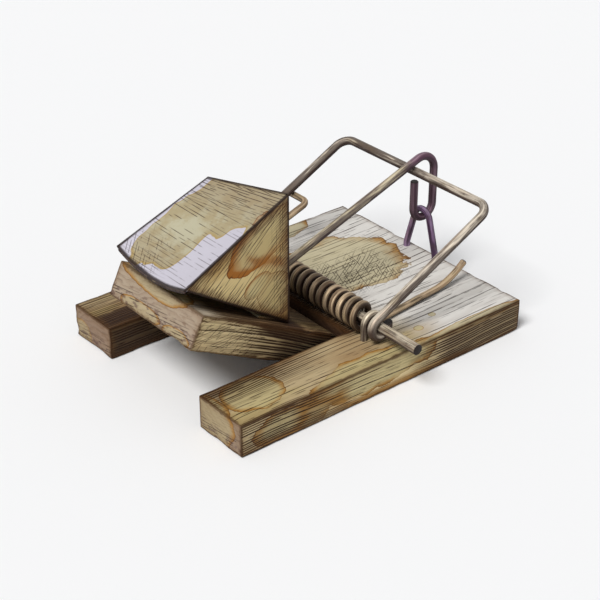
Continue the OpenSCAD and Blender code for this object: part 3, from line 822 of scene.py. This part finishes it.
def wood(name, into_board, heart, edge_distance, marks, seed, bleached, shade_and_marks, low, cut_end, age=0.0, rims=0.3):
    paint = Paint(bpy.data.materials.new(name))
    place = into_board(place_in_mm(paint))
    x, y, z = axes(place)
    face_x, face_y, face_z = axes(into_board(facing(paint), False))
    end_grain, flank = face_x.size().rises(0.6, 0.9), face_y.size().rises(0.5, 0.9)

    slow = spread(place, (0.014, 0.05, 0.05), seed, 2.0) - 0.5
    knot = spread(place, (0.05, 0.12, 0.12), seed) - 0.5
    from_y, from_z = y - heart[0] + slow * 14, z - heart[1] + knot * 4
    rings = (from_y * from_y + from_z * from_z).root() / YEAR_RING + slow * 3
    ring = rings.fraction()
    late = ring.rises(0.35, 0.88) * ring.rises(1.0, 0.93)
    fibre = spread(place, (0.05, 2.6, 2.6), seed, 4.0, 0.65)
    patchy = spread(place, (0.025, 0.05, 0.05), (1.0, 8.0, 3.0))
    wash = spread(place, (0.03, 0.09, 0.09), (5.0, 2.0, 7.0), rough=0.45)
    ends = spread(place, (1.0, 0.35, 0.9), seed)
    busy = spread(place, (0.03, 0.10, 0.10), (9.0, 2.0, 5.0), 2.0).rises(0.40, 0.60)
    frayed = spread(place, (0.4, 1.0, 1.0), seed) - 0.5

    shade_and_grime, crossed, rusty = shade_and_marks(x, y, z, flank)
    shade_and_grime = shade_and_grime * (1 - end_grain * x.rises(-30, -40) * 0.8)
    fill, rim, edge = tide_marks(place, marks, seed, ragged=0.75, faint=rims)

    across = y * (1 - flank) + z * flank + slow * 5
    long_lines = strokes(x, across, 1.9, 26.0, seed[0] + 1.3, 0.10, 0.62)
    short_lines = strokes(x, across, 1.15, 9.0, seed[0] + 7.9, 0.17, 0.5)
    dense_lines = strokes(x, across, 0.80, 14.0, seed[0] + 3.1, 0.36, 0.95)
    steep = x + y + z
    cross_lines = strokes(steep * 0.53 + x * 0.32, x * 1.38 - steep * 0.85 + slow * 3, 0.85, 4.5,
                          seed[0] + 5.5, 0.18, 0.70)
    cross_lines = cross_lines.most(strokes(steep * 0.94 - x * 0.59, x * 1.29 - steep * 0.35 + slow * 5,
                                           1.0, 4.0, seed[0] + 6.7, 0.16, 0.55))
    end_lines = strokes(y, z + y * 0.12, 0.85, 4.5, seed[0] + 2.2, 0.20, 0.62)
    # Dense strokes go where the dirt mask is high and on the side faces, both as painted shade.
    ink = ((long_lines * 0.75 + short_lines * (0.25 + 0.5 * busy) + cross_lines * crossed
            + dense_lines * (shade_and_grime * 1.35 + flank * busy * 0.25)) * (1 - end_grain)
           + end_lines * end_grain * (0.16 + 0.6 * (z - low).rises(6.0, 2.5)))
    to_edge = edge_distance(x, y, z) + frayed * 1.1

    # Side faces get a lighter tone, painted to make up for the weaker light on them, and more dark late wood
    # and fibre, which is painted shade.
    colour = coats(
        TAN, (PALE, patchy.rises(0.36, 0.60)),
        (OLIVE, wash.rises(0.50, 0.62) * 0.7),
        (BLEACHED, bleached(x, y, z, patchy) * face_z.rises(0.6, 0.95) * 0.92),
        (SIDE_PAINTED_LIGHTER, flank * 0.75),
        (GRIME_AND_SHADE, late * (0.12 + 0.10 * flank) + age),
        (BROWN, fibre.rises(0.58, 0.76) * (0.22 + 0.1 * flank)),
        (cut_end, end_grain * 0.8),
        (BROWN, end_grain * (ends.rises(0.56, 0.68) * 0.25 + late * 0.16)),
        (SOAKED, fill * (0.72 - 0.34 * end_grain)),
        (RUST, (rim + rusty * wash.rises(0.42, 0.54)).least(0.88)),
        (BURNT, edge * 0.85),
        # These two coats darken where the dirt mask is high: painted shade in the notch, under the spring and
        # the hood, and on the sides.
        (GRIME_AND_SHADE, shade_and_grime * 0.55),
        (INK, shade_and_grime.rises(0.70, 1.0) * 0.82),
        (VIOLET, end_grain * ends.rises(0.50, 0.62) * (z - low).rises(7.0, 1.5) * 0.6),
        (INK, ink.least(0.95)),
        (INK, to_edge.rises(0.95, 0.45) * (0.55 + 0.2 * busy + 0.4 * shade_and_grime).least(0.95)),
        (BROWN, to_edge.rises(2.6, 0.3) * 0.3))
    height = fibre * 0.5 - late * 0.3 - ink * 0.9 - end_grain * ends * 0.6
    return surface(paint, colour, 0.64 + fibre * 0.2 - fill * 0.08, height=height, depth=0.22, shine=0.15)


def as_placed(vector, is_place=True):
    return vector


def lying_flat(vector, is_place=True):
    """Turns the raised treadle's places and facings back to a board that lies flat, with the pin at 0."""
    centre = (PIN[0], 0.0, PIN[1]) if is_place else (0.0, 0.0, 0.0)
    return vector.paint.node("Mapping", {"vector_type": "TEXTURE"},
                             {"Vector": vector, "Location": centre, "Rotation": (0.0, LIFT, 0.0)})


print("wood recipe ready")

# %% [markdown]
# The two boards share the recipe but not their history. The base board is bleached at the end that
# stands in the light, and has painted shade inside the notch, under the spring and on its sides.
# The treadle is older, and has painted shade towards its pin, along its sides and under the hood.

# %% Dress the base board and the treadle
def base_edges(x, y, z):
    beyond_notch, beside_notch = x.rises(-2.6, -2.5) * NO_EDGE, y.size().rises(21.4, 21.5) * NO_EDGE
    dx = (x - BOARD_X[0]).least(BOARD_X[1] - x).least((x - NOTCH_X).size() + beside_notch)
    dy = (BOARD_Y - y.size()).least((y.size() - NOTCH_Y).size() + beyond_notch)
    return middle_of(dx.size(), dy.size(), z.least(BOARD_Z - z).size())


def treadle_edges(x, y, z):
    return middle_of((x + TREADLE_L).size(), (TREADLE_Y - y.size()).size(),
                     (half_t - z.size()).size() + x.rises(-0.5, 0.5) * NO_EDGE)


def base_bleached(x, y, z, patchy):
    return ((x + y * 0.35) / 30 + (patchy - 0.5) * 1.6).rises(-0.25, 0.45)


def base_shade_and_marks(x, y, z, flank):
    """The base board's painted shade, its cross-scratches and its rust."""
    side = y.size()
    # Painted shade in the notch, on its walls and its end, and under the spring's coil.
    notch_end_shade = (x - NOTCH_X).size().rises(1.2, 0.4) * side.rises(21.6, 21.2)
    in_notch = (side.rises(21.9, 21.2) * flank).most(notch_end_shade)
    spring_shadow = (x + 1.5).size().rises(6.5, 1.5) * side.rises(25, 21)
    # Darker on the prong tops near the notch, and painted shadow of the hood on the back prong.
    by_notch_and_hood_shadow = (side - NOTCH_Y).rises(13, 2) * x.rises(-10, -34) + y.rises(20, 22) * x.rises(-22, -34) * 0.5
    # Painted shade on the outer side faces, towards both ends.
    outer_side_shade = flank * (x.rises(-12, -32) * 0.62 + x.rises(0, 20) * 0.85)
    scraped = (x - 21).size().rises(16, 8) * (y - 3).size().rises(13, 6) * (1 - flank)
    shade_and_grime = (in_notch + outer_side_shade + (spring_shadow * 0.9 + by_notch_and_hood_shadow * 0.85) * (1 - flank)).least(1.0)
    rusty = flank * y.rises(0, -1) * (x + 27).size().rises(11, 5) + flank * z.rises(3.4, 0.4)
    return shade_and_grime, scraped * 0.7, rusty.least(1.0)


def treadle_shade_and_marks(x, y, z, flank):
    # Painted shade: darker towards the pin, where the spring and the notch shade it, under the hood, along the
    # sides' top edge and on the sides.
    pin_end_shade = x.rises(-36, -14) * flank * 0.82 + x.rises(-20, -4) * (1 - flank) * 0.85
    hood_shadow = (x + 26).size().rises(19, 12) * (1 - flank) * y.size().rises(25, 19)
    top_shadow = flank * z.rises(1.0, 4.5) * x.rises(-38, -22)
    shade_and_grime = (pin_end_shade * 0.95 + hood_shadow * 0.8 + top_shadow * 0.6 + flank * 0.12).least(1.0)
    return shade_and_grime, flank * x.rises(-22, -32) * 0.6, flank * (z + half_t).rises(3.4, 0.4)


BASE_MARKS = [
    ((23, 9, 10), (18.5, 16.5, 9)), ((-42, -29, 11), (9.5, 7.5, 6)), ((-8, -41, 9), (25, 8, 7)),
    ((27, -39, 10), (23, 2.6, 1.6)), ((-37, -42, 4), (15, 5.5, 6.5)), ((-23, -47, 6), (9, 4, 4.5)),
    ((21.3, -28.9, 10), (1.2, 1.1, 3)), ((13.3, -32, 10), (1.4, 1.2, 3)), ((-54, 36, 3), (4, 5, 4)),
    ((-54, -27, 5), (4, 9, 8)), ((20, 38, 8), (12, 6, 8)), ((-12, 33, 10), (9, 8, 5))]
TREADLE_MARKS = [((-47, 2, 5), (6.5, 15, 3.8)), ((-49, 5, -3.5), (4, 9, 2.2)),
                 ((-49, -12, -4), (4, 6, 2.2)), ((-14, 17, 4), (9, 8, 6))]
board_wood = wood("board_wood", as_placed, (6.0, -52.0), base_edges, BASE_MARKS, (0.0, 0.0, 0.0),
                  base_bleached, base_shade_and_marks, low=0.0, cut_end=tone(139, 117, 102))
treadle_wood = wood("treadle_wood", lying_flat, (-9.0, -40.0), treadle_edges, TREADLE_MARKS, (5.0, 3.0, 8.0),
                    lambda x, y, z, patchy: x.rises(-36, -46) * 0.35, treadle_shade_and_marks,
                    low=-half_t, cut_end=tone(163, 146, 130), age=0.06, rims=0.95)
dress(board_wood, board)
dress(treadle_wood, treadle)
print("wood nodes:", len(board_wood.node_tree.nodes))

# %% [markdown]
# ## Tinplate
# The hood's tin was lacquered once. The lacquer has yellowed, and has worn off near the folds, where
# the bare tin is a cold pale grey; these pale patches are painted highlights as well as wear. Rust has
# crept in on the cheek as a ring, and fingers and claws have left fine scratches across the roof and on
# the cheeks. Along the folds and the cheeks' open edges the strokes are denser and the tin darker, which
# is painted shade, and each face gets its own tone by which way it faces, as painted light and shade.

# %% The tinplate recipe
TIN_LINE, FOLD_SHADE, FOLD_LINE = tone(50, 29, 18), tone(80, 46, 20), tone(34, 17, 10)
CHEEK_SPILLS = [((-2.0, -15.5, -51.6), (13.5, 4, 6.2)), ((-6.5, -15.5, -35.0), (6, 4, 7)),
                ((-6.6, 15.5, -40), (8, 4, 6)), ((2.0, 5, -40.7), (5, 8, 8)),
                ((-9.5, -15.5, -42.0), (5, 4, 2.8))]

paint = Paint(bpy.data.materials.new("tinplate"))
place = place_in_mm(paint)
x, y, z = axes(place)
face_x, face_y, face_z = axes(facing(paint))
on_cheek, on_roof, on_wall = face_y.size().rises(0.5, 0.8), face_z.rises(0.2, 0.5), face_x.rises(0.5, 0.8)

over = y / (2 * HOOD_HALF) + 0.5
top_x, top = wall_x - over * HOOD_SKEW, peak_front - over * HOOD_FALL
down = ((x - top_x) / (lip[0] - top_x)).most(0.0)
arch_out = (over * 2 - 1) * (over * 2 - 1)
roof_z = top * (1 - down) + (lip[2] - LIP_DISH * (1 - arch_out)) * down
here_x = wall_x - over.least((z - wall_low) / (top - wall_low)) * HOOD_SKEW
fold = middle_of((roof_z - z).size(), (HOOD_HALF - y.size()).size(), (here_x - x).size())
open_edge = (z - (wall_low + (lip[2] - wall_low) * down)).size() + on_roof * NO_EDGE
rim_edge = open_edge.least(x - lip[0] + on_wall * NO_EDGE)

cloud = spread(place, (0.06, 0.08, 0.05), (2.0, 4.0, 1.0), 2.0, 0.45, 0.6)
front_half = over.rises(0.70, 0.16) * down.rises(0.24, 0.52)
back_strip, lip_strip = over.rises(0.88, 1.0), down.rises(0.78, 0.98)
# The pale bare patches are both lacquer wear and painted highlights: they sit along the back edge, the lip and
# the front half of the roof.
wear_and_highlight = cloud * 0.62 + front_half * 0.27 + back_strip * 0.30 + lip_strip * 0.21
bare_and_highlight = wear_and_highlight.rises(0.478, 0.492) * on_roof
tide = wear_and_highlight.rises(0.440, 0.482) * wear_and_highlight.rises(0.490, 0.482) * on_roof
grime = spread(place, (0.12, 0.12, 0.12), (6.0, 1.0, 2.0), 4.0, 0.65)
broad = spread(place, (0.05, 0.05, 0.05), (3.0, 7.0, 4.0), 2.0).rises(0.4, 0.6)
busy = spread(place, (0.08, 0.08, 0.08), detail=2.0).rises(0.42, 0.58)

slope, square = x * 0.72 + z * 0.69, x * 0.69 - z * 0.72
by_peak, by_lip = down.rises(0.45, 0.05), down.rises(0.55, 0.85) * over.rises(0.25, 0.6)
near_fold_shade = fold.least(open_edge).rises(8.0, 1.0)
across = strokes(y, slope, 1.15, 7.0, 2.3, 0.14, 0.58)
across_dense = strokes(y, slope + y * 0.12, 0.85, 6.0, 5.1, 0.19, 0.72)
downhill = strokes(x + z * 0.5 + y * 0.9, y - x * 0.9, 1.25, 5.0, 6.6, 0.15, 0.55)
leaning = strokes(slope, square, 1.0, 8.0, 9.7, 0.19, 0.72)
leaning_dense = strokes(slope + square * 0.2, square - slope * 0.2, 0.75, 6.0, 3.2, 0.24, 0.85)
upright = strokes(z, x + y, 0.95, 8.0, 4.4, 0.18, 0.7)
on_roof_lines = (across * (0.45 + 0.4 * busy - 0.35 * by_lip)
                 + across_dense * (by_peak * 0.9 + by_lip * 0.3)
                 + downhill * down.rises(0.55, 0.8) * over.rises(0.45, 0.7) * 0.65)
# Denser strokes near the fold on the cheeks are painted shade.
on_cheek_lines = (leaning * (0.6 + 0.35 * near_fold_shade) + leaning_dense * near_fold_shade * 0.85
                  + upright * x.rises(-27, -20) * 0.7)
lines_seen = on_roof_lines * on_roof + on_cheek_lines * on_cheek + upright * on_wall * 0.7

along, beside = x * 0.86 + z * 0.51, x * 0.51 - z * 0.86
fill, rim, edge = tide_marks(vector(along, y, beside), CHEEK_SPILLS, (3.0, 6.0, 1.0), 0.48, 0.60, 0.65)
low_end = along.rises(2.0, -8.0) * beside.rises(-41, -46)
smear = ((z + x * 0.38 - 27.6).size() + (grime - 0.5) * 7).rises(2.8, 0.4) * (x + 26.5).size().rises(8.5, 4)
frayed = (grime - 0.5) * 1.6
# Each face of the one sheet gets its own tone by which way it faces: the cheeks lighter and warmer than the
# roof, the upright wall darker. This is painted light and shade.
wall_colour = coats(tone(132, 110, 80), (tone(158, 140, 108), grime.rises(0.4, 0.62)))
colour = coats(
    tone(168, 154, 120), (tone(183, 177, 150), grime.rises(0.4, 0.6)),
    (tone(154, 136, 106), by_peak * 0.75 + by_lip * 0.5),
    (tone(199, 195, 206), bare_and_highlight * 0.95),
    (tone(168, 142, 84), tide * (0.35 + 0.65 * broad) * 0.85),
    (coats(tone(190, 156, 96), (tone(216, 194, 140), broad)), on_cheek),
    (wall_colour, on_wall),
    (tone(192, 180, 134), fill * on_cheek * 0.6),
    (tone(160, 96, 26), (rim * (0.35 + 1.3 * low_end)).least(0.95)),
    (tone(100, 50, 12), edge * 0.88),
    (tone(150, 92, 30), smear * on_cheek * y.rises(0, -1) * 0.8),
    (TIN_LINE, lines_seen.least(0.9)),
    # Painted shade along the cheeks' fold and along their open edge.
    (FOLD_SHADE, (fold + frayed * 2).rises(5.0, 0.3) * on_cheek * 0.65),
    (FOLD_SHADE, (open_edge + frayed * 2).rises(4.0, 0.3) * on_cheek * 0.7),
    (FOLD_LINE, (fold + frayed * 0.5).rises(0.95, 0.40) * 0.93),
    (FOLD_LINE, (rim_edge + frayed * 0.5).rises(1.1, 0.45) * 0.94))
height = grime * 0.6 - lines_seen * 0.6 - rim * 0.5 + bare_and_highlight * 0.15
roughness = 0.44 + grime * 0.22 + rim * 0.25 - bare_and_highlight * 0.08
tin_finish = surface(paint, colour, roughness, 0.12 + bare_and_highlight * 0.12, height, depth=0.10, shine=0.25)
dress(tin_finish, tin, flange)
print("tinplate nodes:", len(tin_finish.node_tree.nodes))

# %% [markdown]
# ## Wire and small steel parts
# Drawn wire shows fine lines along its length, where the die has dragged. The underside of each
# wire is painted darker as shade, and so is the inside of the spring's coil, between its turns. A wire's cut
# ends are dark.
# One recipe serves every wire, with other tones. The bar's right end was bent hot and is dark from
# there on, and the hammer's back half is more soiled. Pieces that aren't wire read their own place.

# %% The steel recipe
def steel(name, light, middle_tone, dark, shade_below=(0.62, 0.0), tarnish=0.7, along_wire=True,
          roughness=0.45, metal=0.45, hot_from=None, soiled_from=None, coiled=False):
    paint = Paint(bpy.data.materials.new(name))
    place = place_in_mm(paint)
    run = paint.node("Attribute", {"attribute_name": "wire_place"}, out=1) if along_wire else place
    length = axes(run)[0]
    drag = spread(run, (0.05, 1.2, 1.2), detail=2.0, rough=0.5)
    film = spread(run, (0.05, 0.55, 0.55), (7.0, 1.0, 4.0), rough=0.6)
    lines_seen = (spread(run, (0.035, 0.9, 0.9), (2.0, 5.0, 1.0), 2.0, 0.5) - 0.5).size().rises(0.07, 0.0)
    grime = spread(place, (0.16, 0.16, 0.16), (8.0, 3.0, 5.0), 4.0, 0.6)
    # Painted shade: darker where the wire's surface faces down.
    underside_shade = axes(facing(paint))[2].rises(*shade_below)
    if soiled_from is not None:
        film = film + (length + (grime - 0.5) * 20).rises(soiled_from - 9, soiled_from + 5) * 0.19 - 0.03

    colour = coats(light, (middle_tone, drag.rises(0.46, 0.64) * 0.7),
                   (tone(170, 152, 112), grime.rises(0.52, 0.64) * 0.4),
                   (dark, film.rises(0.47, 0.60) * tarnish))
    shade_lines_and_cuts = (underside_shade * 0.88 + lines_seen * (0.35 + 0.45 * grime.rises(0.4, 0.6))).least(0.92)
    if hot_from is not None:
        hot = (length + (grime - 0.5) * 6).rises(hot_from - 2.5, hot_from + 2.5)
        purple = coats(tone(146, 114, 134), (tone(84, 52, 74), drag.rises(0.42, 0.56)))
        colour = coats(colour, (purple, hot * 0.92))
    if along_wire:
        cut = paint.node("Attribute", {"attribute_name": "wire_end"}, out=2).rises(0.40, 0.20)
        shade_lines_and_cuts = shade_lines_and_cuts.most(cut)
    # Painted shade inside the coil, between its turns.
    if coiled:
        x, y, z = axes(place)
        out = (x * x + (z - AXLE_Z) * (z - AXLE_Z)).root()
        shade_lines_and_cuts = shade_lines_and_cuts.most(out.rises(4.25, 3.75) * out.rises(5.4, 4.9) * 0.95)
    colour = coats(colour, (dark, shade_lines_and_cuts))
    if along_wire:
        colour = coats(colour, (tone(24, 13, 9), cut))
    height = drag * 0.5 - lines_seen * 0.8 + grime * 0.3
    bare_metal = metal * (1 - shade_lines_and_cuts.most(grime.rises(0.55, 0.7) * 0.7))
    return surface(paint, colour, roughness + grime * 0.22 + underside_shade * 0.08, bare_metal, height,
                   depth=0.06, shine=0.3)


MIDDLE, DARK = tone(148, 126, 108), tone(46, 25, 22)
dress(steel("bright_wire", tone(210, 197, 174), MIDDLE, DARK, (0.45, -0.35), tarnish=0.45),
      WIRES["axle"], WIRES["rod_staple_front"], WIRES["rod_staple_back"])
dress(steel("hammer_wire", tone(212, 200, 182), tone(160, 140, 122), DARK, (0.50, -0.10), tarnish=0.8,
            soiled_from=hammer_length / 2), WIRES["hammer"])
dress(steel("bar_wire", tone(200, 188, 160), MIDDLE, tone(52, 34, 44), (0.42, -0.30), hot_from=58.0),
      WIRES["bar"])
dress(steel("dark_wire", tone(168, 140, 174), tone(94, 60, 98), tone(42, 20, 42), (0.05, -0.60),
            tarnish=0.8), WIRES["hold_staple"])
dress(steel("spring_wire", tone(196, 172, 140), tone(144, 114, 84), tone(42, 22, 12), (0.05, -0.60),
            roughness=0.42, coiled=True), spring)
# The hood's hem gets this dark finish as painted shade, for the shadow under the lip.
dress(steel("dark_plate", tone(100, 80, 74), tone(70, 52, 50), tone(32, 19, 18), along_wire=False),
      hem, *(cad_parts[n] for n in ("hinge_pin", "catch_plate", "bait_spike")))
dress(steel("tack_metal", tone(190, 156, 96), tone(140, 106, 62), tone(64, 44, 28), along_wire=False,
            roughness=0.36, metal=0.8), tacks)
print("finishes:", sorted(m.name for m in bpy.data.materials if m.users))

# %% [markdown]
# ## Stage, light and camera
# One soft sun stands high on the left, as through a workshop window. It is a sun and not a lamp,
# because a lamp near the trap would leave the far floor grey. The sky's even light fills the shadows,
# and the two add up to about 1 on a level board, so that each colour shows as it is written. Seen
# straight on or in a shiny wire, the sky is as bright as the floor, but it sheds no more light.

# %% Stage, light and camera
SKY, SKY_SEEN, HALF, LOW = 0.36, 0.95, 3, -0.00006
floor_mesh = bpy.data.meshes.new("floor")
floor_mesh.from_pydata([(-HALF, -HALF, LOW), (HALF, -HALF, LOW), (HALF, HALF, LOW), (-HALF, HALF, LOW)],
                       [], [(0, 1, 2, 3)])
floor = in_scene("floor", floor_mesh)
floor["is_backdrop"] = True
dress(surface(Paint(bpy.data.materials.new("floor")), tone(248, 248, 248), 0.95), floor)

sky = Paint(bpy.data.worlds.new("sky"))
bpy.context.scene.world = sky.holder
seen = sky.node("LightPath", out="Is Camera Ray")
for ray in ("Is Glossy Ray", "Is Transmission Ray"):
    seen = seen.most(sky.node("LightPath", out=ray))
light = sky.node("Background", {}, {0: (0.97, 0.98, 1.0, 1.0), 1: SKY + seen * (SKY_SEEN - SKY)})
sky.node("OutputWorld", {}, {0: light})

SUN_FROM = Vector((-0.55, -0.16, 0.82))
lamp = bpy.data.lights.new("window", "SUN")
lamp.angle, lamp.energy = radians(24), 2.45
window = in_scene("window", lamp)
window.location = SUN_FROM
window.rotation_euler = SUN_FROM.to_track_quat("Z", "Y").to_euler()

azimuth, elevation, distance_m = radians(-39.07), radians(29.98), 0.4359
target = Vector((3.0, 7.2, 5.0)) * MM
back = Vector((sin(azimuth) * cos(elevation), -cos(azimuth) * cos(elevation), sin(elevation)))
camera_data = bpy.data.cameras.new("camera")
camera_data.lens, camera_data.sensor_width = 89.7, 36.0
camera_data.clip_start, camera_data.clip_end = 0.01, 20
camera = in_scene("camera", camera_data)
camera.location = target + back * distance_m
camera.rotation_euler = (-back).to_track_quat("-Z", "Y").to_euler()
bpy.context.scene.camera = camera
bpy.context.scene.view_settings.view_transform = "Standard"
print("camera at, m:", tuple(round(c, 3) for c in camera.location))

# %% [markdown]
# ## Sizes of the finished model
# The dressed model should fill the same box as the solids, so both boxes are written side by side.

# %% Print both boxes
shown_box = [list(corner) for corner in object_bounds()]
for name, box in (("solid", solid_box), ("shown", shown_box)):
    print(name, "box, mm:", [[round(c / MM, 1) for c in corner] for corner in box])
